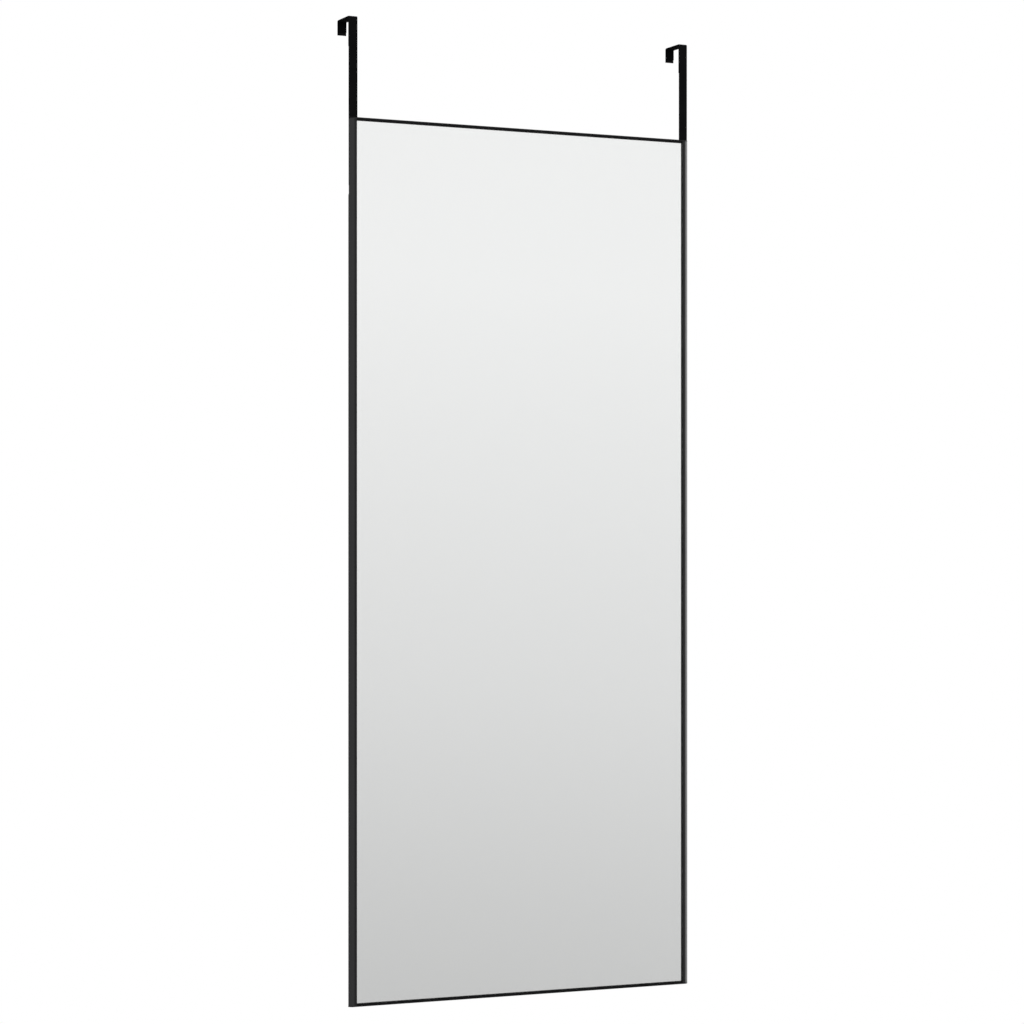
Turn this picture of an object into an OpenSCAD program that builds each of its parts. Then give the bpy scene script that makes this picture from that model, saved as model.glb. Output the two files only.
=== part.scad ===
// Over the door mirror.
// A tall sheet of silvered glass in a slim black frame of four extruded rails,
// hung on two flat steel hooks that pass over the top edge of a door.
//
// Axes: +X to the viewer's right, +Y back towards the door, +Z up.
// Origin: mid-width, on the door's top edge, in the plane of the door's front face.

/* [Frame] */
// Overall width of the frame
frame_w = 520.5; // [460:0.5:600]
// Overall height of the frame, without the hooks
frame_h = 1200; // [1000:1:1500]
// Depth of the frame from its front lip to the rear ribs
frame_d = 7; // [7:0.1:11]
// Wall thickness of the rails' front lip
lip_t = 1.1; // [0.8:0.1:1.4]
// Distance from the stile's outer side to the inner edge of its lip
stile_face_w = 10.1; // [9.5:0.1:12]
// Width of the stile's front bevel
stile_bevel_w = 6.6; // [6:0.1:6.8]
// Depth of the stile's front bevel
stile_bevel_d = 4.7; // [4.4:0.1:4.9]
// Degrees that the rounded bevel turns through from its middle to either edge
stile_bevel_turn = 19; // [10:1:24]
// Height of the top and bottom rails' front face
rail_face_h = 4.3; // [4:0.1:6]
// Width of the rails' small front bevel
rail_bevel_w = 1.3; // [1:0.1:1.5]
// Depth of the rails' small front bevel
rail_bevel_d = 1.2; // [1:0.1:1.6]

/* [Mirror] */
// Thickness of the glass
glass_t = 2; // [1.8:0.1:2]
// Thickness of the tape that beds the glass on the lip
tape_t = 0.3; // [0.3:0.05:0.5]
// Thickness of the silver and its paint
silver_t = 0.1; // [0.1:0.05:0.15]
// Thickness of the safety film behind the silver
film_t = 0.1; // [0.1:0.05:0.15]
// Thickness of the hardboard back
board_t = 2; // [1.8:0.1:2]

/* [Hooks] */
// Width of the flat steel strap
strap_w = 12.6; // [12:0.1:12.6]
// Thickness of the strap
strap_t = 1.5; // [1.2:0.1:1.5]
// Height of the strap's top above the frame's top
strap_rise = 137; // [110:1:160]
// Clear gap between the front strap and the rear lip, without the felt
strap_gap = 38.5; // [38:0.5:48]
// Height of the rear lip, measured from the strap's top
lip_drop = 20.4; // [16:0.2:40]
// Inside radius of the strap's two bends
bend_r = 1; // [0.8:0.1:1.5]
// Length of strap that lies behind the frame
tail_len = 92; // [80:1:120]
// Thickness of the felt that lines the hook
felt_t = 1; // [0.8:0.1:1]
// Travel of the hook each way when its two screws are slack
hook_travel = 10; // [5:1:12]

/* [Fasteners] */
// Radius of the hook screws' thread
hook_screw_r = 1.5; // [1.4:0.1:1.5]
// Radius of the hook screws' flat heads
hook_head_r = 3; // [2.8:0.1:3]
// Thickness of the hook screws' flat heads
hook_head_t = 0.85; // [0.7:0.05:0.9]
// Radius of the corner screws
corner_screw_r = 1; // [0.9:0.1:1]
// Radius of the corner screws' countersunk heads
corner_head_r = 1.6; // [1.5:0.1:1.6]
// Length of the corner screws
corner_screw_len = 15; // [12:1:20]
// Radius of the felt bumpers
bumper_r = 9; // [7:0.5:11]

/* [Hidden] */
$fn = 48;

eps = 0.01;
cut = 2;

// Depths, measured back from the front of the lip
groove_back = 3.9;
web_back = 5.1;
clip_lip_t = 0.5;
clip_lip_front = frame_d - clip_lip_t;
glass_front = lip_t + tape_t;
silver_front = glass_front + glass_t;
film_front = silver_front + silver_t;
board_front = film_front + film_t;
board_back = board_front + board_t;
strap_back = web_back + strap_t;
door_depth = strap_back + felt_t;

// Distances inward from a stile's outer side
groove_floor_u = 7.4;
glass_edge_u = 7.7;
strap_edge_u = 0.3;
rib_out_u = 13.1;
rib_in_u = 17.1;
clip_lip_u = 18.6;
board_edge_u = rib_in_u + 0.3;
flange_t = 1.2;
flange_back = strap_back;
tape_gap = 0.2;

// Distances inward from a rail's outer side
rail_wall = 1.6;
glass_edge_w = 2.3;
rail_rib_out = 6.3;
rail_rib_in = 8.6;
rail_clip_lip = 10.1;
board_edge_w = rail_rib_in + 0.3;

// The frame's place in the part's own axes
frame_top = felt_t + strap_t - strap_rise;
frame_bottom = frame_top - frame_h;
half_w = frame_w / 2;
stile_h = frame_h - 2 * rail_wall;

// The stile's rounded bevel, an arc from its outer side to its lip
bevel_chord = norm([stile_bevel_w, stile_bevel_d]);
bevel_r = bevel_chord / 2 / sin(stile_bevel_turn);
bevel_tilt = atan2(stile_bevel_d, stile_bevel_w);
bevel_steps = 12;
bevel_start = bevel_tilt + stile_bevel_turn;
bevel_curve = [
    for (i = [0 : bevel_steps])
        let (turn = bevel_start - 2 * stile_bevel_turn * i / bevel_steps)
            [bevel_r * (sin(bevel_start) - sin(turn)),
            stile_bevel_d - bevel_r * (cos(turn) - cos(bevel_start))]
];

// How much of the stile's rear flange is milled away for a hook and its travel
flange_notch = tail_len + hook_travel + 2;

// Corner screws: one in the stile's nose and one in its rib
nose_screw = [5.2, 3.2];
rib_screw = [15.1, 5.4];
countersink_d = 0.8;

// How far down from the strap's top the felt reaches on each side of the door
rear_felt_drop = lip_drop - 4;
front_felt_drop = 40;

// Hook screws, from the frame's top, and the off-centre slots they pass through
hook_screw_u = 5.2;
hook_screw_drops = [28, 72];
hook_thread_depth = 2.4;
slot_play = 0.15;
slot_r = hook_screw_r + slot_play;

// Rubber setting blocks under the glass
block_len = 30;
block_x = 140;

// Spring clips: how many along each side and along each end
clip_len = 24;
clip_w = 14;
clip_t = 0.35;
side_clips = 4;
end_clips = 2;
clip_clear = 0.1;
clip_press_from = 0.42;
clip_press_to = 0.8;

// Bumpers, measured from the board's edges
bumper_inset = 30;
bumper_t = door_depth - board_back;

// A point at distance u from the left side, depth v and height z
module at_left(u, v, z) {
    translate([u - half_w, v - door_depth, z])
        children();
}

// The same thing on the right side, seen in a mirror
module on_right() {
    mirror([1, 0, 0])
        children();
}

// A flat outline of distance and depth, carried up from z to z + h on the left
module upright(z, h) {
    at_left(0, 0, z)
        linear_extrude(h)
            children();
}

// A flat outline of inward distance and depth, carried along the top rail
module along_top(x_from, x_to) {
    translate([x_from, -door_depth, frame_top])
        rotate([0, 90, 0])
            linear_extrude(x_to - x_from)
                children();
}

// Moves what is drawn at the frame's top to its bottom, upside down
module at_bottom() {
    translate([0, 0, frame_top + frame_bottom])
        mirror([0, 0, 1])
            children();
}

// Section of a stile: bevelled nose, lip, glass groove, web, screw rib, clip lip and flange
module stile_section() {
    polygon(concat(bevel_curve, [
        [stile_face_w, 0],
        [stile_face_w, lip_t],
        [groove_floor_u, lip_t],
        [groove_floor_u, groove_back],
        [rib_in_u, groove_back],
        [rib_in_u, clip_lip_front],
        [clip_lip_u, clip_lip_front],
        [clip_lip_u, frame_d],
        [rib_out_u, frame_d],
        [rib_out_u, web_back],
        [flange_t, web_back],
        [flange_t, flange_back],
        [0, flange_back]
    ]));
}

// Section of a rail: slim wall, lip, glass groove, web, rib and clip lip
module rail_section() {
    polygon([
        [0, rail_bevel_d],
        [rail_bevel_w, 0],
        [rail_face_h, 0],
        [rail_face_h, lip_t],
        [rail_wall, lip_t],
        [rail_wall, groove_back],
        [rail_rib_in, groove_back],
        [rail_rib_in, clip_lip_front],
        [rail_clip_lip, clip_lip_front],
        [rail_clip_lip, frame_d],
        [rail_rib_out, frame_d],
        [rail_rib_out, web_back],
        [rail_wall, web_back],
        [rail_wall, frame_d],
        [0, frame_d]
    ]);
}

// What the rail loses at its left end so that the stile can stand against it
module rail_end_cut() {
    inner_h = rail_clip_lip + cut;
    at_left(-cut, -cut, frame_top - inner_h)
        cube([stile_face_w + cut, groove_back + cut, inner_h - rail_wall]);
    at_left(-cut, groove_back - eps, frame_top - inner_h)
        cube([clip_lip_u + cut, frame_d + cut, inner_h - rail_wall]);
    upright(frame_top - inner_h, inner_h + cut)
        polygon(concat([[-cut, stile_bevel_d]], bevel_curve, [[stile_bevel_w, -cut], [-cut, -cut]]));
}

// Countersunk shape of a corner screw, driven down from the frame's top
module corner_screw_at(place) {
    at_left(place[0], place[1], frame_top - corner_screw_len)
        cylinder(r = corner_screw_r, h = corner_screw_len);
    at_left(place[0], place[1], frame_top - countersink_d)
        cylinder(r1 = corner_screw_r, r2 = corner_head_r, h = countersink_d);
}

// The four corner screws of the frame's top
module top_corner_screws() {
    for (place = [nose_screw, rib_screw]) {
        corner_screw_at(place);
        on_right()
            corner_screw_at(place);
    }
}

// All eight corner screws, as solids or as the holes they fill
module every_corner_screw() {
    top_corner_screws();
    at_bottom()
        top_corner_screws();
}

module left_stile() {
    color([0.05, 0.05, 0.055])
        difference() {
            upright(frame_bottom + rail_wall, stile_h)
                stile_section();
            every_corner_screw();
            at_left(-cut, web_back, frame_top - flange_notch)
                cube([flange_t + 2 * cut, frame_d, flange_notch]);
            for (drop = hook_screw_drops)
                at_left(hook_screw_u, web_back - hook_thread_depth, frame_top - drop)
                    rotate([-90, 0, 0])
                        cylinder(r = hook_screw_r, h = hook_thread_depth + cut);
        }
}

module right_stile() {
    on_right()
        left_stile();
}

// A rail with both ends cut back for the stiles
module rail_bar() {
    difference() {
        along_top(-half_w, half_w)
            rail_section();
        rail_end_cut();
        on_right()
            rail_end_cut();
    }
}

// Open notch in the top rail's back that one strap passes through
module strap_notch() {
    at_left(-cut, web_back, frame_top - rail_wall - cut)
        cube([rib_out_u + cut, frame_d, rail_wall + 2 * cut]);
}

module top_rail() {
    color([0.05, 0.05, 0.055])
        difference() {
            rail_bar();
            every_corner_screw();
            strap_notch();
            on_right()
                strap_notch();
        }
}

module bottom_rail() {
    color([0.05, 0.05, 0.055])
        difference() {
            at_bottom()
                rail_bar();
            every_corner_screw();
        }
}

module corner_screws() {
    color([0.55, 0.55, 0.57])
        every_corner_screw();
}

// Rubber blocks that carry the glass in the bottom rail's groove
module setting_blocks() {
    color([0.1, 0.1, 0.1])
        for (x = [-block_x, block_x])
            translate([x - block_len / 2, glass_front - door_depth, frame_bottom + rail_wall])
                cube([block_len, glass_t, glass_edge_w - rail_wall]);
}

// Tape between a stile's lip and the glass
module left_glazing_tape() {
    tape_u = glass_edge_u + tape_gap;
    color([0.15, 0.15, 0.16])
        at_left(tape_u, lip_t, frame_bottom + rail_face_h)
            cube([stile_face_w - tape_gap - tape_u, tape_t, frame_h - 2 * rail_face_h]);
}

module right_glazing_tape() {
    on_right()
        left_glazing_tape();
}

// Tape between a rail's lip and the glass
module top_glazing_tape() {
    tape_w = glass_edge_w + tape_gap;
    tape_x = half_w - stile_face_w;
    color([0.15, 0.15, 0.16])
        translate([-tape_x, lip_t - door_depth, frame_top - rail_face_h + tape_gap])
            cube([2 * tape_x, tape_t, rail_face_h - tape_gap - tape_w]);
}

module bottom_glazing_tape() {
    at_bottom()
        top_glazing_tape();
}

// A sheet centred in the frame, inset from the stiles and the rails
module centred_sheet(inset_x, inset_z, depth, thick) {
    translate([inset_x - half_w, depth - door_depth, frame_bottom + inset_z])
        cube([frame_w - 2 * inset_x, thick, frame_h - 2 * inset_z]);
}

module glass_pane() {
    color([0.8, 0.88, 0.86])
        centred_sheet(glass_edge_u, glass_edge_w, glass_front, glass_t);
}

module silver_layer() {
    color([0.85, 0.86, 0.87])
        centred_sheet(glass_edge_u, glass_edge_w, silver_front, silver_t);
}

module safety_film() {
    color([0.75, 0.78, 0.8])
        centred_sheet(glass_edge_u, glass_edge_w, film_front, film_t);
}

module back_board() {
    color([0.42, 0.29, 0.18])
        centred_sheet(board_edge_u, board_edge_w, board_front, board_t);
}

// One bowed leaf of spring steel: its edge tucks under a clip lip, its belly presses the board
module spring_clip() {
    room = clip_lip_front - board_back;
    translate([-clip_clear, 0, -clip_w / 2])
        linear_extrude(clip_w)
            polygon([
                [0, room],
                [-clip_len * clip_press_from, clip_t],
                [-clip_len * clip_press_to, clip_t],
                [-clip_len, room],
                [-clip_len, room - clip_t],
                [-clip_len * clip_press_to, 0],
                [-clip_len * clip_press_from, 0],
                [0, room - clip_t]
            ]);
}

// Clips down the left side, each one turned to point at the stile
module side_spring_clips() {
    step = frame_h / side_clips;
    for (i = [0 : side_clips - 1])
        at_left(rib_in_u, board_back, frame_bottom + (i + 0.5) * step)
            mirror([1, 0, 0])
                spring_clip();
}

// Clips along the top, each one turned to point at the rail
module end_spring_clips() {
    step = frame_w / end_clips;
    for (i = [0 : end_clips - 1])
        translate([(i + 0.5) * step - half_w, board_back - door_depth, frame_top - rail_rib_in])
            rotate([0, -90, 0])
                spring_clip();
}

module spring_clips() {
    color([0.6, 0.61, 0.63]) {
        side_spring_clips();
        on_right()
            side_spring_clips();
        end_spring_clips();
        at_bottom()
            end_spring_clips();
    }
}

// Side view of a hook: tail, front strap, bridge and rear lip, in depth and height
module hook_outline() {
    out_r = bend_r + strap_t;
    rear = strap_gap + 2 * strap_t;
    translate([0, -strap_rise - tail_len])
        square([strap_t, strap_rise + tail_len - out_r]);
    translate([out_r, -strap_t])
        square([rear - 2 * out_r, strap_t]);
    translate([rear - strap_t, -lip_drop])
        square([strap_t, lip_drop - out_r]);
    for (bend = [[out_r, 90], [rear - out_r, 0]])
        translate([bend[0], -out_r])
            intersection() {
                difference() {
                    circle(r = out_r);
                    circle(r = bend_r);
                }
                rotate(bend[1])
                    square(out_r + cut);
            }
}

// A long hole for one hook screw
module hook_slot(drop) {
    for (z = [-hook_travel, hook_travel])
        at_left(hook_screw_u, web_back - cut, frame_top - drop + z)
            rotate([-90, 0, 0])
                cylinder(r = slot_r, h = strap_t + 2 * cut);
    at_left(hook_screw_u - slot_r, web_back - cut, frame_top - drop - hook_travel)
        cube([2 * slot_r, strap_t + 2 * cut, 2 * hook_travel]);
}

module left_hook() {
    color([0.03, 0.03, 0.032])
        difference() {
            at_left(strap_edge_u, web_back, frame_top + strap_rise)
                rotate([90, 0, 90])
                    linear_extrude(strap_w)
                        hook_outline();
            for (drop = hook_screw_drops)
                hook_slot(drop);
        }
}

module right_hook() {
    on_right()
        left_hook();
}

// Two flat-headed screws that clamp a hook to the stile
module left_hook_screws() {
    color([0.55, 0.55, 0.57])
        for (drop = hook_screw_drops) {
            at_left(hook_screw_u, web_back - hook_thread_depth, frame_top - drop)
                rotate([-90, 0, 0])
                    cylinder(r = hook_screw_r, h = hook_thread_depth + strap_t + eps);
            at_left(hook_screw_u, strap_back, frame_top - drop)
                rotate([-90, 0, 0])
                    cylinder(r = hook_head_r, h = hook_head_t);
        }
}

module right_hook_screws() {
    on_right()
        left_hook_screws();
}

// Felt that lines the inside of a hook, so that it can't scratch the door
module left_hook_felt() {
    inner = strap_gap;
    color([0.06, 0.06, 0.065])
        at_left(strap_edge_u, strap_back, frame_top + strap_rise - strap_t)
            rotate([90, 0, 90])
                linear_extrude(strap_w)
                    difference() {
                        union() {
                            translate([0, -bend_r - (front_felt_drop - strap_t)])
                                square([inner, front_felt_drop - strap_t]);
                            translate([bend_r, -bend_r - eps])
                                square([inner - 2 * bend_r, bend_r + eps]);
                            for (x = [bend_r, inner - bend_r])
                                translate([x, -bend_r])
                                    circle(r = bend_r);
                        }
                        translate([felt_t, -front_felt_drop - cut])
                            square([inner - 2 * felt_t, front_felt_drop + cut - felt_t]);
                        translate([inner - felt_t - cut, -front_felt_drop - cut])
                            square([felt_t + 2 * cut, front_felt_drop + cut - rear_felt_drop + strap_t]);
                    }
}

module right_hook_felt() {
    on_right()
        left_hook_felt();
}

// A round felt bumper stuck on the back board
module bumper_disc(z) {
    at_left(board_edge_u + bumper_inset, board_back, z)
        rotate([-90, 0, 0])
            cylinder(r = bumper_r, h = bumper_t);
}

module upper_left_bumper() {
    color([0.12, 0.12, 0.13])
        bumper_disc(frame_top - board_edge_w - bumper_inset);
}

module upper_right_bumper() {
    on_right()
        upper_left_bumper();
}

module lower_left_bumper() {
    color([0.12, 0.12, 0.13])
        bumper_disc(frame_bottom + board_edge_w + bumper_inset);
}

module lower_right_bumper() {
    on_right()
        lower_left_bumper();
}

left_stile();
right_stile();
top_rail();
bottom_rail();
corner_screws();
setting_blocks();
left_glazing_tape();
right_glazing_tape();
top_glazing_tape();
bottom_glazing_tape();
glass_pane();
silver_layer();
safety_film();
back_board();
spring_clips();
left_hook();
right_hook();
left_hook_screws();
right_hook_screws();
left_hook_felt();
right_hook_felt();
upper_left_bumper();
upper_right_bumper();
lower_left_bumper();
lower_right_bumper();
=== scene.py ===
import math

import bpy
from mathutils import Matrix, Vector


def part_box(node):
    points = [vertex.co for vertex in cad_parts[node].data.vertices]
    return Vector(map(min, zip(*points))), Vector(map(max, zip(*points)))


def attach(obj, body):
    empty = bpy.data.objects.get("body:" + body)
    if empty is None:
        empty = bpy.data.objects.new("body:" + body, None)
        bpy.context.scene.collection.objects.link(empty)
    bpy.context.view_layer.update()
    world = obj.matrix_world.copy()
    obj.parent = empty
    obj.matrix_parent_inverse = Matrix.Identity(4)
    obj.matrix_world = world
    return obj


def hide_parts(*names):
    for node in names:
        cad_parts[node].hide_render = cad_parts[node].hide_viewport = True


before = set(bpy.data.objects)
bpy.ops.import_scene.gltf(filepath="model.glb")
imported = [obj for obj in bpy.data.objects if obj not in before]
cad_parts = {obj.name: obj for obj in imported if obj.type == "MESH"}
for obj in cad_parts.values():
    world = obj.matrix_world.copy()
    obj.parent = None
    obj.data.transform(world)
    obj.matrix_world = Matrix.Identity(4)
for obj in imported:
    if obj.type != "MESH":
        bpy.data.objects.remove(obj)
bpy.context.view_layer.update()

MM = 0.001

# Driving places, read from the frame
STILE_LOW, STILE_HIGH = (Vector(corner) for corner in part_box("left_stile"))
RAIL_LOW, RAIL_HIGH = (Vector(corner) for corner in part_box("top_rail"))
BOTTOM_LOW = Vector(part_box("bottom_rail")[0])
GLASS_LOW, GLASS_HIGH = (Vector(corner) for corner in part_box("glass_pane"))
BOARD_LOW, BOARD_HIGH = (Vector(corner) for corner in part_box("back_board"))
HOOK_LOW, HOOK_HIGH = (Vector(corner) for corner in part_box("left_hook"))
FELT_LOW, FELT_HIGH = (Vector(corner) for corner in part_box("left_hook_felt"))
BUMPER_LOW, BUMPER_HIGH = (Vector(corner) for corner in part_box("lower_left_bumper"))
HOOK_SCREW_LOW = Vector(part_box("left_hook_screws")[0])

HALF_W = RAIL_HIGH.x
HOOK_X = (HOOK_LOW.x + HOOK_HIGH.x) / 2
FELT_X = (FELT_LOW.x + FELT_HIGH.x) / 2
FRONT = STILE_LOW.y
TOP = RAIL_HIGH.z
BOTTOM = BOTTOM_LOW.z
MIDDLE = (TOP + BOTTOM) / 2

# Sections of the extrusions, inward from the outer side and back from the front
BEVEL_W = 6.6 * MM
BEVEL_D = 4.7 * MM
BEVEL_TURN = math.radians(19)
BEVEL_STEPS = 12
STILE_FACE = 10.1 * MM
LIP_T = 1.1 * MM
GROOVE_FLOOR = 7.4 * MM
WEB_FRONT = 3.9 * MM
WEB_BACK = 5.1 * MM
RIB_OUT = 13.1 * MM
RIB_IN = 17.1 * MM
CLIP_LIP = STILE_HIGH.x - STILE_LOW.x
CLIP_LIP_T = 0.5 * MM
FRAME_D = STILE_HIGH.y - STILE_LOW.y
FLANGE_T = 1.2 * MM
FLANGE_BACK = 6.6 * MM
FLANGE_NOTCH = 104 * MM
RAIL_BEVEL_W = 1.3 * MM
RAIL_BEVEL_D = 1.2 * MM
RAIL_FACE = 4.3 * MM
RAIL_WALL = 1.6 * MM
RAIL_RIB_OUT = 6.3 * MM
RAIL_RIB_IN = 8.6 * MM
RAIL_CLIP_LIP = RAIL_HIGH.z - RAIL_LOW.z

# Hooks
STRAP_T = 1.5 * MM
BEND_R = 1.0 * MM
LIP_DROP = 20.4 * MM
SCREW_U = 5.2 * MM
SCREW_DROPS = (28 * MM, 72 * MM)
SLOT_R = 1.65 * MM
SLOT_TRAVEL = 10 * MM
BEND_STEPS = 8
FELT_T = 1.0 * MM
FELT_REAR_DROP = 14.9 * MM
FELT_BEND_STEPS = 4

# Fasteners. A corner screw's place is inward and back. A cross has half its length, its width
# and its depth
NOSE_SCREW = (5.2 * MM, 3.2 * MM)
RIB_SCREW = (15.1 * MM, 5.4 * MM)
CORNER_SHANK_R = 1.0 * MM
CORNER_HEAD_R = 1.6 * MM
CORNER_SCREW_LEN = 15 * MM
CORNER_SINK = 0.1 * MM
CORNER_CROSS = (0.85 * MM, 0.32 * MM, 0.5 * MM)
COUNTERSINK_D = 0.7 * MM
COUNTERSINK_GAP = 0.12 * MM
HOOK_HEAD_R = 3.0 * MM
HOOK_HEAD_T = 0.85 * MM
HOOK_SHANK_R = 1.5 * MM
HOOK_CROSS = (1.45 * MM, 0.55 * MM, 0.6 * MM)
HEAD_RIM = 0.55
HEAD_CROWN = 0.7

# Spring clips
CLIP_LEN = 24 * MM
CLIP_W = 14 * MM
CLIP_T = 0.35 * MM
CLIP_BELLY = 0.6
CLIP_CURL = 2.2
CLIP_STEPS = 14
CLIP_GAP = 0.1 * MM
SIDE_CLIPS = 4
END_CLIPS = 2

# How far each kind of edge is rounded
BAR_EDGE = 0.18 * MM
HOOK_EDGE = 0.3 * MM
FELT_EDGE = 0.2 * MM
BUMPER_EDGE = 0.45 * MM
CORNER_SCREW_EDGE = 0.04 * MM
HOOK_SCREW_EDGE = 0.07 * MM
CLIP_EDGE = 0.06 * MM
GLASS_EDGE = 0.25 * MM
BOARD_EDGE = 0.15 * MM

# Tolerances. GLASS_GAP keeps the glass off its silver, and HEAD_LIFT a screw's head off its strap
GLASS_GAP = 0.02 * MM
HEAD_LIFT = 0.02 * MM
SLIVER = 0.02 * MM
MELT = 0.004 * MM
TOUCH = 0.001 * MM
SPARE = 2 * MM
FACING = 0.9
FLAT_ANGLE = math.radians(1)
EDGE_ANGLE = math.radians(30)
SMOOTH_ANGLE = math.radians(35)


# Modelling helpers


def place(side, inward, depth, height):
    """A point by its distance inward from one side, its depth from the front and its height."""
    return Vector((side * (HALF_W - inward), FRONT + depth, height))


def span(first, second):
    """The lower and the upper corner of the box between two points."""
    return Vector(map(min, first, second)), Vector(map(max, first, second))


def rename(piece, name):
    piece.name = name
    piece.data.name = name


def discard(piece):
    bpy.data.objects.remove(piece, do_unlink=True)


def select_only(piece):
    bpy.ops.object.select_all(action="DESELECT")
    piece.select_set(True)
    bpy.context.view_layer.objects.active = piece


def start_piece(name):
    """Names the primitive that was just added and opens it in edit mode, with all of it selected."""
    piece = bpy.context.object
    rename(piece, name)
    bpy.ops.object.mode_set(mode="EDIT")
    bpy.ops.mesh.select_all(action="SELECT")
    return piece


def close_piece(piece):
    """Leaves edit mode with the faces outwards and puts the object's origin at the frame's."""
    bpy.ops.mesh.select_all(action="SELECT")
    bpy.ops.mesh.normals_make_consistent(inside=False)
    bpy.ops.object.mode_set(mode="OBJECT")
    select_only(piece)
    bpy.ops.object.transform_apply(location=True, rotation=True, scale=True)
    return piece


def pull(step):
    """Extrudes what is selected along a step."""
    bpy.ops.mesh.extrude_region_move(TRANSFORM_OT_translate={"value": step})


def pick_end(piece, way):
    """Opens a piece in edit mode with only the faces that look one way selected."""
    for part in (piece.data.vertices, piece.data.edges):
        for item in part:
            item.select = False
    for face in piece.data.polygons:
        face.select = face.normal.dot(way) > FACING
    select_only(piece)
    bpy.ops.object.mode_set(mode="EDIT")
    bpy.ops.mesh.select_mode(type="FACE")


def outline_bar(name, corners, run):
    """Draws an outline corner by corner, fills it and extrudes it along a run."""
    bpy.ops.object.select_all(action="DESELECT")
    bpy.ops.mesh.primitive_plane_add(size=MM, location=corners[0])
    piece = start_piece(name)
    bpy.ops.mesh.merge(type="CENTER")
    for before, after in zip(corners, corners[1:]):
        bpy.ops.mesh.extrude_vertices_move(TRANSFORM_OT_translate={"value": after - before})
    bpy.ops.mesh.select_all(action="SELECT")
    bpy.ops.mesh.edge_face_add()
    pull(run)
    return close_piece(piece)


def block(name, low, high):
    """A cube stretched between two corners."""
    middle = (low + high) / 2
    size = high - low
    bpy.ops.object.select_all(action="DESELECT")
    bpy.ops.mesh.primitive_cube_add(size=1, location=middle, scale=size)
    return close_piece(start_piece(name))


def rod(name, middle, radius, length, axis, vertices=32):
    """A cylinder along Y or Z."""
    turn = (math.radians(-90), 0, 0) if axis == "Y" else (0, 0, 0)
    bpy.ops.object.select_all(action="DESELECT")
    bpy.ops.mesh.primitive_cylinder_add(
        vertices=vertices, radius=radius, depth=length, location=middle, rotation=turn
    )
    return close_piece(start_piece(name))


def modify(piece, kind, **settings):
    """Adds one modifier and applies it."""
    select_only(piece)
    modifier = piece.modifiers.new(kind, kind)
    for key, value in settings.items():
        setattr(modifier, key, value)
    bpy.ops.object.modifier_apply(modifier=modifier.name)


def carve(piece, cutter, solver="EXACT"):
    """Cuts one solid out of another. MANIFOLD leaves no stray points where many cuts meet."""
    modify(piece, "BOOLEAN", operation="DIFFERENCE", solver=solver, object=cutter)
    discard(cutter)


def join(pieces):
    """Joins pieces into the first of them."""
    bpy.ops.object.select_all(action="DESELECT")
    for piece in pieces:
        piece.select_set(True)
    bpy.context.view_layer.objects.active = pieces[0]
    if len(pieces) > 1:
        bpy.ops.object.join()
    return pieces[0]


def flatten(piece):
    """Clears the slivers that a cut along an existing face leaves, so that the edges round cleanly."""
    modify(piece, "WELD", merge_threshold=SLIVER)
    modify(piece, "DECIMATE", decimate_type="DISSOLVE", angle_limit=FLAT_ANGLE)


def soften(piece, width, segments=2):
    """Rounds the sharp edges a little, and keeps the broad faces flat in their shading."""
    modify(
        piece, "BEVEL", width=width, segments=segments, limit_method="ANGLE",
        angle_limit=EDGE_ANGLE, use_clamp_overlap=True, harden_normals=False,
    )
    modify(piece, "WELD", merge_threshold=MELT)
    select_only(piece)
    bpy.ops.object.shade_smooth_by_angle(angle=SMOOTH_ANGLE)
    modify(piece, "WEIGHTED_NORMAL", mode="FACE_AREA", weight=100, keep_sharp=True)


def copy_to(pattern, spot, turn=None):
    """A copy with its own mesh, turned about the origin if need be, then moved to a spot."""
    twin = pattern.copy()
    twin.data = pattern.data.copy()
    bpy.context.collection.objects.link(twin)
    select_only(twin)
    if turn:
        angle, axis = turn
        setattr(twin.rotation_euler, axis.lower(), angle)
    twin.location = spot
    bpy.ops.object.transform_apply(location=True, rotation=True, scale=True)
    return twin


def named_copy(pattern, name, spot):
    twin = copy_to(pattern, spot)
    rename(twin, name)
    return twin


def gather(pattern, copies):
    """Joins the copies into one piece, which takes the pattern's name."""
    name = pattern.name
    discard(pattern)
    whole = join(copies)
    rename(whole, name)
    return whole


def dress(piece, nodes, body, material):
    """Gives a piece its material and its body, and hides the CAD nodes that it stands for."""
    piece.data.materials.clear()
    piece.data.materials.append(material)
    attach(piece, body)
    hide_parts(*nodes)


# Materials

# Tones: the darker and the lighter colour that a look wanders between
POWDER_TONES = ((0.0024, 0.0024, 0.0026), (0.0046, 0.0046, 0.0049))
BOARD_TONES = ((0.145, 0.078, 0.038), (0.29, 0.175, 0.095))
BOARD_PRINT = (0.115, 0.06, 0.03)
SILVER_TONES = ((0.955, 0.957, 0.957), (0.965, 0.965, 0.963))
GLASS_TONES = ((0.988, 0.993, 0.991), (0.99, 0.994, 0.992))
PLASTIC_LIGHTER = 1.35

# How deep each skin's relief is
EXTRUSION_RELIEF = 0.012 * MM
POWDER_RELIEF = 0.03 * MM
STEEL_RELIEF = 0.006 * MM
FELT_RELIEF = 0.22 * MM
BOARD_RELIEF = 0.16 * MM
PLASTIC_RELIEF = 0.03 * MM

# The scratches' slant, the felt's curl, and the hardboard's screen print. The wave texture has
# its own count of waves in one pitch
SCRATCH_TURN = (0.1, 0.1, 0.1)
FELT_CURL = 0.0025
SCREEN_PITCH = 1.6 * MM
WAVES_PER_PITCH = 0.314
SCREEN_WANDER = 0.5
SCREEN_POWER = 1.6


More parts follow.
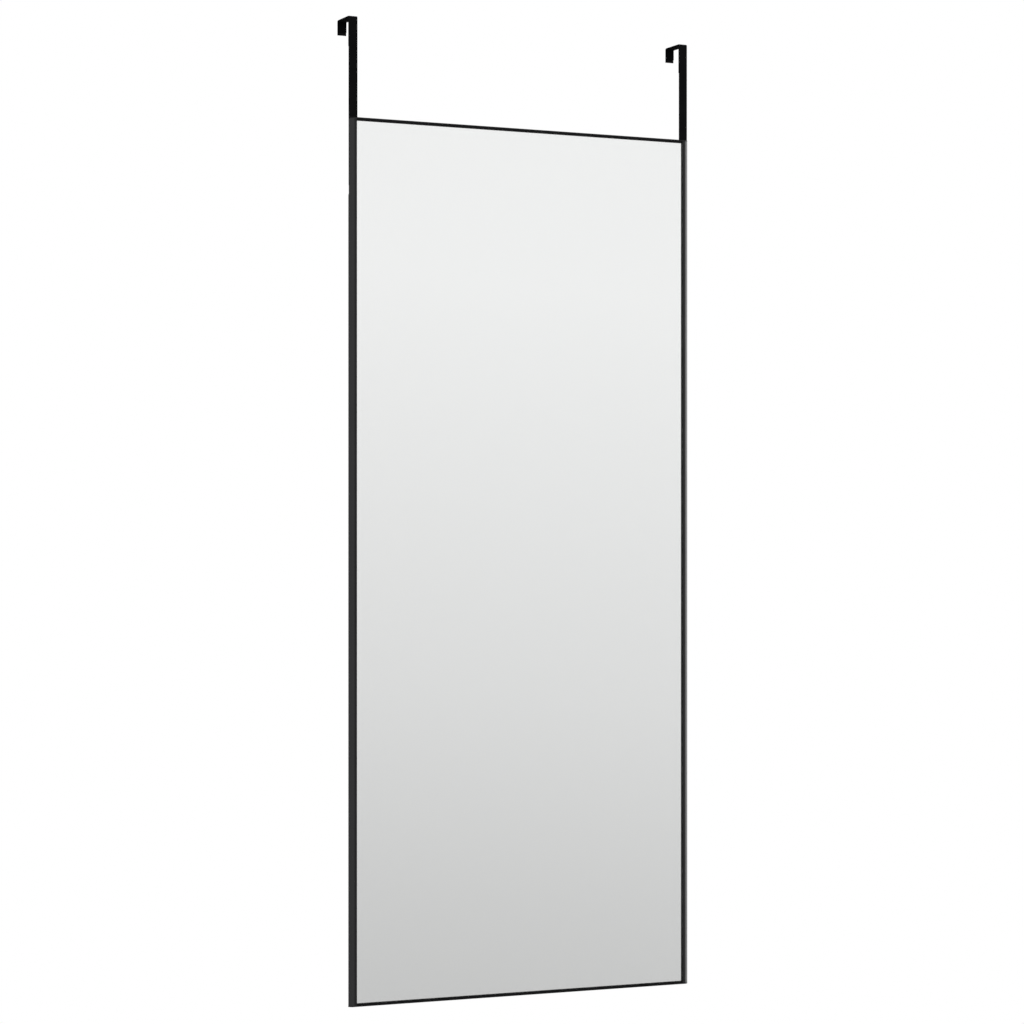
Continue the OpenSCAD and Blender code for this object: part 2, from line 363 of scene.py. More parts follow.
class Wire:
    """A shader socket that takes part in arithmetic."""

    def __init__(self, graph, socket):
        self.graph = graph
        self.socket = socket

    def __add__(self, other):
        return self.graph.math("ADD", self, other)

    def __radd__(self, other):
        return self.graph.math("ADD", other, self)

    def __sub__(self, other):
        return self.graph.math("SUBTRACT", self, other)

    def __rsub__(self, other):
        return self.graph.math("SUBTRACT", other, self)

    def __mul__(self, other):
        return self.graph.math("MULTIPLY", self, other)

    def __rmul__(self, other):
        return self.graph.math("MULTIPLY", other, self)

    def __neg__(self):
        return self.graph.math("SUBTRACT", 0.0, self)

    def __pow__(self, other):
        return self.graph.math("POWER", self, other)

    def clamped(self):
        return self.graph.math("MAXIMUM", self.graph.math("MINIMUM", self, 1.0), 0.0)


class Graph:
    """The node tree of one material or of the world."""

    def __init__(self, owner):
        owner.use_nodes = True
        self.tree = owner.node_tree
        self.tree.nodes.clear()

    def node(self, kind, settings=None, inputs=None):
        """Adds a node, sets it, then fills its sockets with values or wires."""
        made = self.tree.nodes.new(kind)
        for key, value in (settings or {}).items():
            if key == "stops":
                self.set_stops(made, value)
            else:
                setattr(made, key, value)
        for key, value in (inputs or {}).items():
            self.feed(made.inputs[key], value)
        return made

    def set_stops(self, made, stops):
        ramp = made.color_ramp
        while len(ramp.elements) < len(stops):
            ramp.elements.new(1.0)
        for element, (position, colour) in zip(ramp.elements, stops):
            element.position = position
            element.color = (*colour, 1.0)

    def feed(self, socket, value):
        if isinstance(value, Wire):
            self.tree.links.new(value.socket, socket)
        elif hasattr(socket.default_value, "__len__") and len(socket.default_value) == 4:
            socket.default_value = (*value, 1.0)
        else:
            socket.default_value = value

    def wire(self, kind, output, settings=None, inputs=None):
        return Wire(self, self.node(kind, settings, inputs).outputs[output])

    def math(self, operation, first, second):
        return self.wire("ShaderNodeMath", 0, {"operation": operation}, {0: first, 1: second})

    def here(self, scale=(1, 1, 1), turn=(0, 0, 0)):
        """Object coordinates, stretched or turned."""
        inputs = {"Vector": self.wire("ShaderNodeTexCoord", "Object"), "Scale": scale, "Rotation": turn}
        return self.wire("ShaderNodeMapping", 0, None, inputs)

    def noise(self, where, scale, detail=3.0, roughness=0.5):
        inputs = {"Vector": where, "Scale": scale, "Detail": detail, "Roughness": roughness}
        return self.wire("ShaderNodeTexNoise", "Fac", None, inputs)

    def ramp(self, value, low, high):
        """value carried from low..high to 0..1."""
        inputs = {"Value": value, "From Min": low, "From Max": high}
        return self.wire("ShaderNodeMapRange", 0, {"clamp": True}, inputs)

    def blend(self, mask, first, second):
        """One colour where mask is 0, the other where it is 1."""
        inputs = {0: mask, 6: first, 7: second}
        return self.wire("ShaderNodeMix", 2, {"data_type": "RGBA"}, inputs)

    def bump(self, height, distance):
        return self.wire("ShaderNodeBump", 0, None, {"Height": height, "Distance": distance})

    def background(self, colour, strength):
        return self.wire("ShaderNodeBackground", 0, None, {"Color": colour, "Strength": strength})

    def mix(self, mask, first, second):
        """One shader where mask is 0, the other where it is 1."""
        return self.wire("ShaderNodeMixShader", 0, None, {0: mask, 1: first, 2: second})


def scaled(colour, factor):
    return tuple(factor * channel for channel in colour)


def material(name):
    made = bpy.data.materials.new(name)
    return made, Graph(made)


def finish(graph, **sockets):
    """Ends a material in one Principled shader. A name's underscores stand for spaces."""
    inputs = {key.replace("_", " "): value for key, value in sockets.items()}
    shader = graph.wire("ShaderNodeBsdfPrincipled", 0, None, inputs)
    graph.node("ShaderNodeOutputMaterial", None, {"Surface": shader})


def anodised_black(name, grain, dark, light, gloss):
    """Satin black extrusion with faint die lines along the bar."""
    made, graph = material(name)
    here = graph.here()
    lines = graph.noise(graph.here(scale=grain), scale=1.0, detail=2.0)
    cloud = graph.noise(here, scale=18.0)
    speck = graph.noise(here, scale=2600.0, detail=2.0)
    tone = graph.ramp(cloud * 0.6 + lines * 0.4, 0.3, 0.7)
    finish(
        graph,
        Base_Color=graph.blend(tone, dark, light),
        Roughness=0.3 + 0.08 * lines + 0.06 * cloud,
        Specular_IOR_Level=gloss,
        Normal=graph.bump(lines * 0.7 + speck * 0.3, EXTRUSION_RELIEF),
    )
    return made


def powder_coat():
    """Matte black powder coat with a fine dimpled skin."""
    made, graph = material("hook_powder_coat")
    here = graph.here()
    dimples = graph.noise(here, scale=1500.0, detail=2.0)
    fine = graph.noise(here, scale=5200.0, detail=2.0)
    cloud = graph.noise(here, scale=40.0)
    tone = graph.ramp(cloud * 0.7 + fine * 0.3, 0.3, 0.7)
    finish(
        graph,
        Base_Color=graph.blend(tone, *POWDER_TONES),
        Roughness=0.46 + 0.12 * dimples,
        Specular_IOR_Level=0.02,
        Normal=graph.bump(dimples * 0.75 + fine * 0.25, POWDER_RELIEF),
    )
    return made


def bright_steel(name, base, low, high, spots, grain):
    """Plated or bare steel, as rough as low to high. spots is how strongly its tone wanders, and
    grain how its scratches run."""
    made, graph = material(name)
    cloud = graph.noise(graph.here(), scale=60.0)
    along = graph.here(scale=grain, turn=SCRATCH_TURN)
    scratch = graph.noise(along, scale=1.0, detail=4.0, roughness=0.6)
    tone = graph.ramp(cloud * 0.4 + scratch * 0.6, 0.3, 0.7)
    finish(
        graph,
        Base_Color=graph.blend(tone, scaled(base, 1 - spots), base),
        Metallic=1.0,
        Roughness=low + (high - low) * graph.ramp(scratch, 0.3, 0.7),
        Normal=graph.bump(scratch, STEEL_RELIEF),
    )
    return made


def wool_felt(name, dark, light):
    """Pressed felt: short fibres lying every way."""
    made, graph = material(name)
    here = graph.here()
    curls = {"Vector": here, "Scale": 700.0, "Detail": 2.0}
    tangle = graph.wire("ShaderNodeTexNoise", "Color", None, curls)
    warp = {0: FELT_CURL, 4: here, 5: tangle}
    warped = graph.wire("ShaderNodeMix", 1, {"data_type": "VECTOR"}, warp)
    fibres = graph.noise(warped, scale=3200.0, detail=4.0, roughness=0.65)
    tufts = graph.noise(here, scale=420.0)
    tone = graph.ramp(fibres * 0.65 + tufts * 0.35, 0.35, 0.65)
    finish(
        graph,
        Base_Color=graph.blend(tone, dark, light),
        Roughness=0.96,
        Specular_IOR_Level=0.02,
        Normal=graph.bump(fibres * 0.6 + tufts * 0.4, FELT_RELIEF),
    )
    return made


def hardboard():
    """Brown fibreboard, its back printed by the screen that it was pressed on."""
    made, graph = material("hardboard")
    here = graph.here()
    fibre = graph.noise(graph.here(scale=(1.0, 1.0, 0.4)), scale=2400.0, detail=6.0, roughness=0.7)
    blotch = graph.noise(here, scale=9.0, detail=4.0)
    flake = graph.noise(here, scale=330.0, detail=5.0, roughness=0.65)
    threads = []
    for direction in ("X", "Z"):
        bands = {"wave_type": "BANDS", "wave_profile": "SIN", "bands_direction": direction}
        inputs = {
            "Vector": here, "Scale": WAVES_PER_PITCH / SCREEN_PITCH, "Distortion": SCREEN_WANDER,
        }
        threads.append(graph.wire("ShaderNodeTexWave", "Fac", bands, inputs))
    screen = (threads[0] * threads[1]) ** SCREEN_POWER
    tone = graph.ramp(fibre * 0.35 + flake * 0.35 + blotch * 0.3, 0.34, 0.66)
    plain = graph.blend(tone, *BOARD_TONES)
    finish(
        graph,
        Base_Color=graph.blend(screen * 0.45, plain, BOARD_PRINT),
        Roughness=0.78 + 0.14 * fibre,
        Specular_IOR_Level=0.3,
        Normal=graph.bump(fibre * 0.35 - screen * 0.65, BOARD_RELIEF),
    )
    return made


def silver():
    """The reflecting coat, with the faintest uneven tint."""
    made, graph = material("silver_coat")
    cloud = graph.noise(graph.here(), scale=1.2, detail=2.0)
    finish(
        graph,
        Base_Color=graph.blend(cloud, *SILVER_TONES),
        Metallic=1.0,
        Roughness=0.0,
    )
    return made


def float_glass():
    """Clear glass with a faint green body colour."""
    made, graph = material("float_glass")
    cloud = graph.noise(graph.here(), scale=1.5, detail=2.0)
    finish(
        graph,
        Base_Color=graph.blend(cloud, *GLASS_TONES),
        Roughness=0.0,
        IOR=1.52,
        Transmission_Weight=1.0,
    )
    return made


def dull_plastic(name, base, roughness, scale):
    """Rubber, foam tape or film: one colour with a fine uneven surface."""
    made, graph = material(name)
    grain = graph.noise(graph.here(), scale)
    finish(
        graph,
        Base_Color=graph.blend(grain, base, scaled(base, PLASTIC_LIGHTER)),
        Roughness=roughness + 0.08 * grain,
        Normal=graph.bump(grain, PLASTIC_RELIEF),
    )
    return made


# Pieces


def bevel_curve():
    """The stile's rounded bevel, from its outer side to its lip."""
    tilt = math.atan2(BEVEL_D, BEVEL_W)
    radius = math.hypot(BEVEL_W, BEVEL_D) / 2 / math.sin(BEVEL_TURN)
    start = tilt + BEVEL_TURN
    curve = []
    for step in range(BEVEL_STEPS + 1):
        turn = start - 2 * BEVEL_TURN * step / BEVEL_STEPS
        inward = radius * (math.sin(start) - math.sin(turn))
        curve.append((inward, BEVEL_D - radius * (math.cos(turn) - math.cos(start))))
    return curve


def stile_outline(side, height):
    """Bevelled nose, lip, glass groove, web, screw rib, clip lip and rear flange."""
    corners = bevel_curve() + [
        (STILE_FACE, 0), (STILE_FACE, LIP_T),
        (GROOVE_FLOOR, LIP_T), (GROOVE_FLOOR, WEB_FRONT), (RIB_IN, WEB_FRONT),
        (RIB_IN, FRAME_D - CLIP_LIP_T), (CLIP_LIP, FRAME_D - CLIP_LIP_T), (CLIP_LIP, FRAME_D),
        (RIB_OUT, FRAME_D), (RIB_OUT, WEB_BACK), (FLANGE_T, WEB_BACK), (FLANGE_T, FLANGE_BACK),
        (0, FLANGE_BACK),
    ]
    return [place(side, inward, depth, height) for inward, depth in corners]


def make_stile(name, side):
    run = Vector((0, 0, STILE_HIGH.z - STILE_LOW.z))
    piece = outline_bar(name, stile_outline(side, STILE_LOW.z), run)
    low = place(side, -SPARE, WEB_BACK, TOP - FLANGE_NOTCH)
    high = place(side, FLANGE_T + SPARE, FRAME_D + SPARE, TOP + SPARE)
    carve(piece, block("flange_notch", *span(low, high)))
    flatten(piece)
    soften(piece, BAR_EDGE)
    return piece


def rail_outline(edge, up):
    """The rail's section before its ends are cut. edge is its outer height, up 1 on top and -1 below."""
    corners = [
        (0, RAIL_BEVEL_D), (RAIL_BEVEL_W, 0), (RAIL_FACE, 0), (RAIL_FACE, LIP_T),
        (RAIL_WALL, LIP_T), (RAIL_WALL, WEB_FRONT), (RAIL_RIB_IN, WEB_FRONT),
        (RAIL_RIB_IN, FRAME_D - CLIP_LIP_T), (RAIL_CLIP_LIP, FRAME_D - CLIP_LIP_T),
        (RAIL_CLIP_LIP, FRAME_D), (RAIL_RIB_OUT, FRAME_D), (RAIL_RIB_OUT, WEB_BACK),
        (RAIL_WALL, WEB_BACK), (RAIL_WALL, FRAME_D), (0, FRAME_D),
    ]
    return [Vector((-HALF_W, FRONT + depth, edge - up * inward)) for inward, depth in corners]


def end_cutters(side, edge, up):
    """What a rail's end loses: room for the stile, the stile's own bevel and, on top, room for
    the strap."""
    stile_room = [
        (-SPARE, -SPARE), (STILE_FACE, -SPARE), (STILE_FACE, WEB_FRONT), (RIB_IN, WEB_FRONT),
        (RIB_IN, FRAME_D - CLIP_LIP_T), (CLIP_LIP, FRAME_D - CLIP_LIP_T),
        (CLIP_LIP, FRAME_D + SPARE), (-SPARE, FRAME_D + SPARE),
    ]
    nose = [(-SPARE, BEVEL_D), *bevel_curve(), (BEVEL_W, -SPARE), (-SPARE, -SPARE)]
    inner = edge - up * RAIL_WALL
    room = [place(side, inward, depth, inner) for inward, depth in stile_room]
    tip = [place(side, inward, depth, edge + up * SPARE) for inward, depth in nose]
    down = Vector((0, 0, -up * (RAIL_CLIP_LIP + SPARE)))
    cutters = [outline_bar("stile_room", room, down), outline_bar("nose_room", tip, down)]
    if up > 0:
        low = place(side, RIB_OUT, WEB_BACK, inner - SPARE)
        high = place(side, -SPARE, FRAME_D + SPARE, edge + SPARE)
        cutters.append(block("strap_room", *span(low, high)))
    return cutters


def screw_places(up):
    """Where the four screws of one rail stand, on its outer face."""
    edge = TOP if up > 0 else BOTTOM
    return [place(side, *spot, edge) for side in (-1, 1) for spot in (NOSE_SCREW, RIB_SCREW)]


def make_rail(name, up):
    edge = TOP if up > 0 else BOTTOM
    piece = outline_bar(name, rail_outline(edge, up), Vector((2 * HALF_W, 0, 0)))
    for side in (-1, 1):
        for cutter in end_cutters(side, edge, up):
            carve(piece, cutter, "MANIFOLD")
    flatten(piece)
    soften(piece, BAR_EDGE)
    depth = 2 * (CORNER_SINK + COUNTERSINK_D)
    for spot in screw_places(up):
        sink = rod("sink", spot, CORNER_HEAD_R + COUNTERSINK_GAP, depth, "Z")
        carve(piece, sink, "MANIFOLD")
    return piece


def cut_cross(piece, middle, cross, axis):
    """Cuts two crossed slots for a screwdriver into a head that looks along an axis."""
    reach, width, depth = cross
    for lie in "XYZ".replace(axis, ""):
        size = {"X": width, "Y": width, "Z": width, lie: 2 * reach, axis: 2 * depth}
        half = Vector(size.values()) / 2
        carve(piece, block("cross", middle - half, middle + half))


def make_corner_screw(name):
    """A countersunk screw standing head up at the origin."""
    head = Vector((0, 0, 0))
    middle = Vector((0, 0, -CORNER_SCREW_LEN / 2))
    piece = rod(name, middle, CORNER_SHANK_R, CORNER_SCREW_LEN, "Z", vertices=24)
    pick_end(piece, Vector((0, 0, 1)))
    bpy.ops.transform.translate(value=(0, 0, -COUNTERSINK_D))
    pull((0, 0, COUNTERSINK_D))
    grow = CORNER_HEAD_R / CORNER_SHANK_R
    bpy.ops.transform.resize(value=(grow, grow, 1), center_override=head)
    bpy.ops.mesh.select_mode(type="VERT")
    close_piece(piece)
    cut_cross(piece, head, CORNER_CROSS, "Z")
    soften(piece, CORNER_SCREW_EDGE)
    return piece


def make_corner_screws():
    """One screw, copied to both ends of both rails."""
    pattern = make_corner_screw("corner_screw_set")
    screws = []
    for up in (1, -1):
        turn = None if up > 0 else (math.pi, "X")
        for spot in screw_places(up):
            screws.append(copy_to(pattern, spot - Vector((0, 0, up * CORNER_SINK)), turn))
    return gather(pattern, screws)


def make_hook(name, side):
    """A strap extruded up from its tail, spun over the bridge and down to the lip."""
    tail = (-side * HOOK_X, HOOK_LOW.y + STRAP_T / 2, HOOK_LOW.z)
    bpy.ops.object.select_all(action="DESELECT")
    bpy.ops.mesh.primitive_plane_add(size=1, location=tail)
    bpy.context.object.scale = (HOOK_HIGH.x - HOOK_LOW.x, STRAP_T, 1)
    bpy.ops.object.transform_apply(location=True, rotation=True, scale=True)
    piece = start_piece(name)
    out_r = BEND_R + STRAP_T
    bend_z = HOOK_HIGH.z - out_r
    bend = {"steps": BEND_STEPS, "angle": math.radians(90), "axis": (1, 0, 0)}
    pull((0, 0, bend_z - HOOK_LOW.z))
    bpy.ops.mesh.spin(center=(0, HOOK_LOW.y + out_r, bend_z), **bend)
    pull((0, HOOK_HIGH.y - HOOK_LOW.y - 2 * out_r, 0))
    bpy.ops.mesh.spin(center=(0, HOOK_HIGH.y - out_r, bend_z), **bend)
    pull((0, 0, out_r - LIP_DROP))
    bpy.ops.mesh.select_all(action="SELECT")
    bpy.ops.mesh.remove_doubles(threshold=TOUCH)
    return close_piece(piece)


def cut_slots(piece, side):
    """The two long holes that let a hook be set higher or lower."""
    for drop in SCREW_DROPS:
        middle = place(side, SCREW_U, WEB_BACK + STRAP_T / 2, TOP - drop)
        slot = rod("slot", middle, SLOT_R, 4 * STRAP_T, "Y")
        for vertex in slot.data.vertices:
            vertex.co.z += SLOT_TRAVEL if vertex.co.z > middle.z else -SLOT_TRAVEL
        carve(piece, slot)


def make_felt(name):
    """The felt strip that lines a hook, standing at mid-width."""
    width = FELT_HIGH.x - FELT_LOW.x
    gap = FELT_HIGH.y - FELT_LOW.y
    reach = FELT_HIGH.z - FELT_LOW.z
    bend = []
    for step in range(FELT_BEND_STEPS + 1):
        angle = math.radians(90) * step / FELT_BEND_STEPS
        bend.append((BEND_R * (1 - math.cos(angle)), BEND_R * (math.sin(angle) - 1)))
    path = [(0, -reach), *bend]
    path += [(gap - y, z) for y, z in reversed(bend)]
    path += [(gap, -FELT_REAR_DROP), (gap - FELT_T, -FELT_REAR_DROP)]
    path += [(gap - FELT_T, -FELT_T), (FELT_T, -FELT_T), (FELT_T, -reach)]
    corners = [Vector((-width / 2, FELT_LOW.y + y, FELT_HIGH.z + z)) for y, z in path]
    piece = outline_bar(name, corners, Vector((width, 0, 0)))
    soften(piece, FELT_EDGE, 3)
    return piece


def make_hook_screw(name):
    """A wafer-headed screw seated at the origin, its head towards +Y."""
    seat = Vector((0, 0, 0))
    shank_len = WEB_BACK + STRAP_T + HEAD_LIFT - (HOOK_SCREW_LOW.y - FRONT)
    piece = rod(name, Vector((0, -shank_len / 2, 0)), HOOK_SHANK_R, shank_len, "Y", vertices=40)
    pick_end(piece, Vector((0, 1, 0)))
    grow = HOOK_HEAD_R / HOOK_SHANK_R
    thick = HOOK_HEAD_T - HEAD_LIFT
    rim = HEAD_RIM * thick
    pull((0, 0, 0))
    bpy.ops.transform.resize(value=(grow, 1, grow), center_override=seat)
    pull((0, rim, 0))
    pull((0, thick - rim, 0))
    bpy.ops.transform.resize(value=(HEAD_CROWN, 1, HEAD_CROWN), center_override=seat)
    bpy.ops.mesh.select_mode(type="VERT")
    close_piece(piece)
    cut_cross(piece, Vector((0, thick, 0)), HOOK_CROSS, "Y")
    soften(piece, HOOK_SCREW_EDGE)
    return piece


def make_hook_screws(pattern, name, side):
    """The two screws of one hook."""
    depth = WEB_BACK + STRAP_T + HEAD_LIFT
    seats = [place(side, SCREW_U, depth, TOP - drop) for drop in SCREW_DROPS]
    screws = join([copy_to(pattern, seat) for seat in seats])
    rename(screws, name)
    return screws


def make_clip(name):
    """One bowed leaf of spring steel, from the origin along +X, bowed towards -Y."""
    room = STILE_HIGH.y - CLIP_LIP_T - BOARD_HIGH.y
    front = []
    for step in range(CLIP_STEPS + 1):
        reach = step / CLIP_STEPS
        to_end = CLIP_BELLY if reach < CLIP_BELLY else 1 - CLIP_BELLY
        bend = abs(reach - CLIP_BELLY) / to_end
        front.append((reach, (room - CLIP_T) * bend ** CLIP_CURL))
    bow = front + [(reach, lift + CLIP_T) for reach, lift in reversed(front)]
    corners = [Vector((CLIP_LEN * reach, lift, -CLIP_W / 2)) for reach, lift in bow]
    piece = outline_bar(name, corners, Vector((0, 0, CLIP_W)))
    soften(piece, CLIP_EDGE)
    return piece


def make_clips():
    """One clip, copied four times down each side and twice along each end."""
    pattern = make_clip("spring_clip_set")
    clips = []
    depth = BOARD_HIGH.y
    for side in (-1, 1):
        x = side * (HALF_W - RIB_IN - CLIP_GAP)
        turn = None if side < 0 else (math.pi, "Y")
        for number in range(SIDE_CLIPS):
            height = BOTTOM + (number + 0.5) * (TOP - BOTTOM) / SIDE_CLIPS
            clips.append(copy_to(pattern, (x, depth, height), turn))
    for up, edge in ((1, TOP), (-1, BOTTOM)):
        height = edge - up * (RAIL_RIB_IN + CLIP_GAP)
        for number in range(END_CLIPS):
            x = -HALF_W + (number + 0.5) * 2 * HALF_W / END_CLIPS
            clips.append(copy_to(pattern, (x, depth, height), (up * math.pi / 2, "Y")))
    return gather(pattern, clips)


def make_bumper(name):
    """A felt disc with a soft edge, its middle at the origin."""
    size = BUMPER_HIGH - BUMPER_LOW
    piece = rod(name, Vector((0, 0, 0)), size.x / 2, size.y, "Y", vertices=64)
    soften(piece, BUMPER_EDGE, 4)
    return piece


def make_sheet(name, low, high, edge):
    """A cut sheet with its edges taken off."""
    piece = block(name, low, high)
    soften(piece, edge)
    return piece


# The look of each slot

STILE_FINISH = anodised_black(
    "anodised_black_upright", (1400, 1400, 3), (0.0062, 0.0062, 0.0066), (0.0094, 0.0094, 0.01), 0.3
)
# The crossbars take a darker, less glossy copy of the uprights' anodised black: painted shade, since
# both bars are the same finish.
SHADED_RAIL_FINISH = anodised_black(
    "anodised_black_across_painted_shade", (3, 1400, 1400), (0.003, 0.003, 0.0032), (0.0054, 0.0054, 0.0058), 0.1
)
HOOK_FINISH = powder_coat()
SCREW_FINISH = bright_steel("zinc_plate", (0.62, 0.62, 0.6), 0.2, 0.34, 0.2, (900, 900, 5000))
SPRING_FINISH = bright_steel("spring_steel", (0.2, 0.205, 0.22), 0.14, 0.3, 0.16, (160, 900, 9000))
FELT_FINISH = wool_felt("black_felt", (0.0008, 0.0008, 0.0009), (0.003, 0.003, 0.0032))
BUMPER_FINISH = wool_felt("grey_felt", (0.02, 0.02, 0.022), (0.07, 0.07, 0.074))
BOARD_FINISH = hardboard()
SILVER_FINISH = silver()
GLASS_FINISH = float_glass()
FILM_FINISH = dull_plastic("safety_film", (0.42, 0.45, 0.48), 0.35, 300.0)
TAPE_FINISH = dull_plastic("foam_tape", (0.02, 0.02, 0.021), 0.8, 1800.0)
RUBBER_FINISH = dull_plastic("block_rubber", (0.015, 0.015, 0.015), 0.7, 1200.0)


def keep_nodes():
    """The hidden CAD nodes keep their shape and get their finish."""
    finishes = {
        "silver_layer": SILVER_FINISH, "safety_film": FILM_FINISH, "setting_blocks": RUBBER_FINISH,
        "left_glazing_tape": TAPE_FINISH, "right_glazing_tape": TAPE_FINISH,
        "top_glazing_tape": TAPE_FINISH, "bottom_glazing_tape": TAPE_FINISH,
    }
    for node, look in finishes.items():
        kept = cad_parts[node]
        kept.data.materials.clear()
        kept.data.materials.append(look)


def build_side(word, side, strip, screw, dot):
    """One upright with its hook, the hook's felt and screws, and the two bumpers beside it."""
    stile = make_stile(f"{word}_upright", side)
    dress(stile, [f"{word}_stile"], "mirror", STILE_FINISH)
    hook = make_hook(f"{word}_strap_hook", side)
    cut_slots(hook, side)
    soften(hook, HOOK_EDGE, 3)
    dress(hook, [f"{word}_hook"], f"{word}_hanger", HOOK_FINISH)
    felt = named_copy(strip, f"{word}_felt_strip", (-side * FELT_X, 0, 0))
    dress(felt, [f"{word}_hook_felt"], f"{word}_hanger", FELT_FINISH)
    screws = make_hook_screws(screw, f"{word}_wafer_screws", side)
    dress(screws, [f"{word}_hook_screws"], "mirror", SCREW_FINISH)
    for level in ("upper", "lower"):
        low, high = (Vector(corner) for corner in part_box(f"{level}_{word}_bumper"))
        pad = named_copy(dot, f"{level}_{word}_felt_dot", (low + high) / 2)
        dress(pad, [f"{level}_{word}_bumper"], "mirror", BUMPER_FINISH)


def build():
    keep_nodes()
    glass_back = GLASS_HIGH - Vector((0, GLASS_GAP, 0))
    glass = make_sheet("mirror_glass", GLASS_LOW, glass_back, GLASS_EDGE)
    dress(glass, ["glass_pane"], "mirror", GLASS_FINISH)
    board = make_sheet("hardboard_back", BOARD_LOW, BOARD_HIGH, BOARD_EDGE)
    dress(board, ["back_board"], "mirror", BOARD_FINISH)
    patterns = [make_felt("felt_strip"), make_hook_screw("wafer_screw"), make_bumper("felt_dot")]
    for word, side in (("left", -1), ("right", 1)):
        build_side(word, side, *patterns)
    for pattern in patterns:
        discard(pattern)
    for word, up in (("top", 1), ("bottom", -1)):
        rail = make_rail(f"{word}_crossbar", up)
        dress(rail, [f"{word}_rail"], "mirror", SHADED_RAIL_FINISH)
    dress(make_corner_screws(), ["corner_screws"], "mirror", SCREW_FINISH)
    dress(make_clips(), ["spring_clips"], "mirror", SPRING_FINISH)


# Camera, floor and light

CAMERA_TURN = math.radians(25.526)
CAMERA_X = -1.76895
CAMERA_AHEAD = 3.66518
CAMERA_LENS = 103.32
HORIZON_BELOW_CENTRE = 50.0
SENSOR_W = 36
PHOTO_SIDE = 1024
FLOOR_Z = -2.032
FLOOR_RADIUS = 2.6
FLOOR_SIDES = 96
FLOOR_COLOUR = (0.86, 0.86, 0.86)

# Each panel's name, place, aim, width and height, and power
LAMPS = [
    ("key_panel", (-2.2, -2.4, 1.6), (0, 0, -0.7), (1.6, 2.2), 60),
    ("fill_panel", (2.4, -1.8, 0.4), (0, 0, -0.8), (1.6, 2.0), 26),
    ("back_panel", (0.6, 2.8, 0.9), (0, 0, -0.7), (2.0, 2.0), 40),
]

# What reflections see of the world. A direction's x is sideways, its y inwards and its z upwards.
# The grade runs between two heights, on a slope, through its stops of place and grey
GRADE_HEIGHTS = (-0.65, 0.15)
GRADE_SLOPE = 0.11
GRADE_MIDDLE = 0.43
GRADE_STOPS = [
    (0.0, 0.44), (0.5, 0.49), (0.625, 0.556), (0.67, 0.604), (0.755, 0.705),
    (0.84, 0.784), (0.93, 0.863), (1.0, 0.872),
]
SKY_GAIN = 1.097

# Each zone fades in over its spans. The left side grows stronger downwards
SIDE_GAIN = 0.42
SIDE_SPAN = (-0.1, 0.2)
SIDE_RISE = 1.2
SIDE_RISE_SPAN = (-0.15, 0.15)
RIM_GAIN = 4.4
RIM_SPAN = (0.55, 0.85)
RIM_LEVEL_SPAN = (-0.28, -0.17)
RIM_RISE_SPAN = (-0.9, 0.1)
RIM_FALL = 0.88
RIM_FALL_SPAN = (0.1, 0.55)
FRONT_SHADE = 0.75
FRONT_DEPTH_SPAN = (0.6, 0.85)
FRONT_SIDE_SPAN = (0.1, 0.35)
BACK_SHADE = 0.9
BACK_DEPTH_SPAN = (0.1, 0.5)
BACK_SIDE_SPAN = (0.0, 0.2)
AMBIENT_COLOUR = (0.95, 0.97, 1.0)
AMBIENT_STRENGTH = 0.75


def add_camera():
    place_at = (CAMERA_X, FRONT - CAMERA_AHEAD, MIDDLE)
    bpy.ops.object.select_all(action="DESELECT")
    bpy.ops.object.camera_add(location=place_at, rotation=(math.radians(90), 0, -CAMERA_TURN))
    camera = bpy.context.object
    camera.data.sensor_width = SENSOR_W
    camera.data.lens = CAMERA_LENS
    camera.data.shift_y = HORIZON_BELOW_CENTRE / PHOTO_SIDE
    bpy.context.scene.camera = camera


def add_floor():
    """A round pale floor at the door's foot. The mirror shows only the world's grade."""
    bpy.ops.object.select_all(action="DESELECT")
    bpy.ops.mesh.primitive_circle_add(
        vertices=FLOOR_SIDES, radius=FLOOR_RADIUS, fill_type="NGON", location=(0, 0, FLOOR_Z)
    )
    floor = bpy.context.object
    floor.name = "studio_floor"
    made, graph = material("pale_floor")
    finish(graph, Base_Color=FLOOR_COLOUR, Roughness=0.9, Specular_IOR_Level=0.1)
    floor.data.materials.append(made)
    floor.visible_glossy = False
    floor.visible_transmission = False


def add_lamp(name, spot, aim, size, power):
    """A large soft panel that the mirror doesn't show."""
    bpy.ops.object.select_all(action="DESELECT")
    bpy.ops.object.light_add(type="AREA", location=spot)
    lamp = bpy.context.object
    lamp.name = name
    lamp.data.shape = "RECTANGLE"
    lamp.data.size, lamp.data.size_y = size
    lamp.data.energy = power
    direction = Vector(aim) - Vector(spot)
    lamp.rotation_euler = direction.to_track_quat("-Z", "Y").to_euler()
    lamp.visible_glossy = False
    lamp.visible_transmission = False


def grade(graph, sideways, upwards):
    """The soft grade from pale to mid grey, as a colour."""
    slope = upwards + GRADE_SLOPE * (sideways - GRADE_MIDDLE)
    settings = {"stops": [(at, (grey, grey, grey)) for at, grey in GRADE_STOPS]}
    inputs = {"Fac": graph.ramp(slope, *GRADE_HEIGHTS)}
    return graph.wire("ShaderNodeValToRGB", 0, settings, inputs)


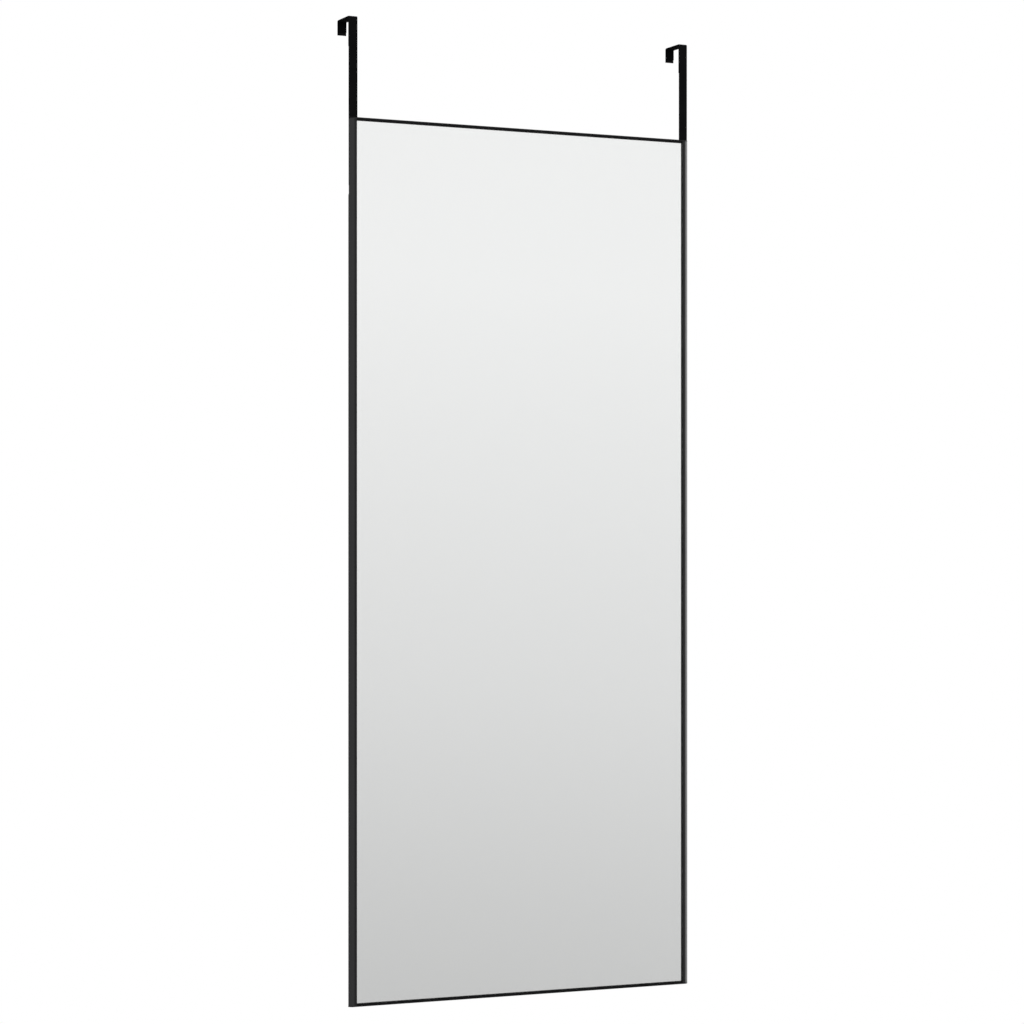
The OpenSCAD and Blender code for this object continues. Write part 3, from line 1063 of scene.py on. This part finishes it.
def zones(graph, sideways, inwards, upwards):
    """How much stronger or weaker than the grade the frame sees each side of the world."""
    lower = graph.ramp(-upwards, *SIDE_RISE_SPAN)
    beside = graph.ramp(-sideways, *SIDE_SPAN) * (1.0 + SIDE_RISE * lower)
    level = graph.ramp(upwards, *RIM_LEVEL_SPAN) * graph.ramp(-upwards, *RIM_LEVEL_SPAN)
    arc = graph.ramp(inwards, *RIM_RISE_SPAN) * (1.0 - RIM_FALL * graph.ramp(inwards, *RIM_FALL_SPAN))
    rim = graph.ramp(sideways, *RIM_SPAN) * arc * level
    front = graph.ramp(-inwards, *FRONT_DEPTH_SPAN) * graph.ramp(sideways, *FRONT_SIDE_SPAN)
    back = BACK_SHADE * graph.ramp(inwards, *BACK_DEPTH_SPAN) * graph.ramp(-sideways, *BACK_SIDE_SPAN)
    return SIDE_GAIN * beside * (1.0 - back) + RIM_GAIN * rim - back - FRONT_SHADE * front


def set_world():
    """White to the camera, a soft grade to reflections and a plain light to all else."""
    world = bpy.data.worlds.new("studio")
    bpy.context.scene.world = world
    graph = Graph(world)
    aim = graph.wire("ShaderNodeTexCoord", "Generated")
    split = graph.node("ShaderNodeSeparateXYZ", None, {"Vector": aim})
    sideways, inwards, upwards = (Wire(graph, split.outputs[axis]) for axis in "XYZ")
    path = graph.node("ShaderNodeLightPath")
    camera = Wire(graph, path.outputs["Is Camera Ray"])
    glossy = Wire(graph, path.outputs["Is Glossy Ray"])
    through = Wire(graph, path.outputs["Is Transmission Ray"])
    extra = zones(graph, sideways, inwards, upwards) * (1.0 - through)
    ambient = graph.background(AMBIENT_COLOUR, AMBIENT_STRENGTH)
    mirrored = graph.background(grade(graph, sideways, upwards), SKY_GAIN * (1.0 + extra))
    white = graph.background((1, 1, 1), 1.0)
    lit = graph.mix((glossy + through).clamped(), ambient, mirrored)
    seen = graph.mix(camera, lit, white)
    graph.node("ShaderNodeOutputWorld", None, {"Surface": seen})


def set_stage():
    bpy.context.scene.view_settings.view_transform = "Standard"
    add_camera()
    add_floor()
    for lamp in LAMPS:
        add_lamp(*lamp)
    set_world()


set_stage()
build()
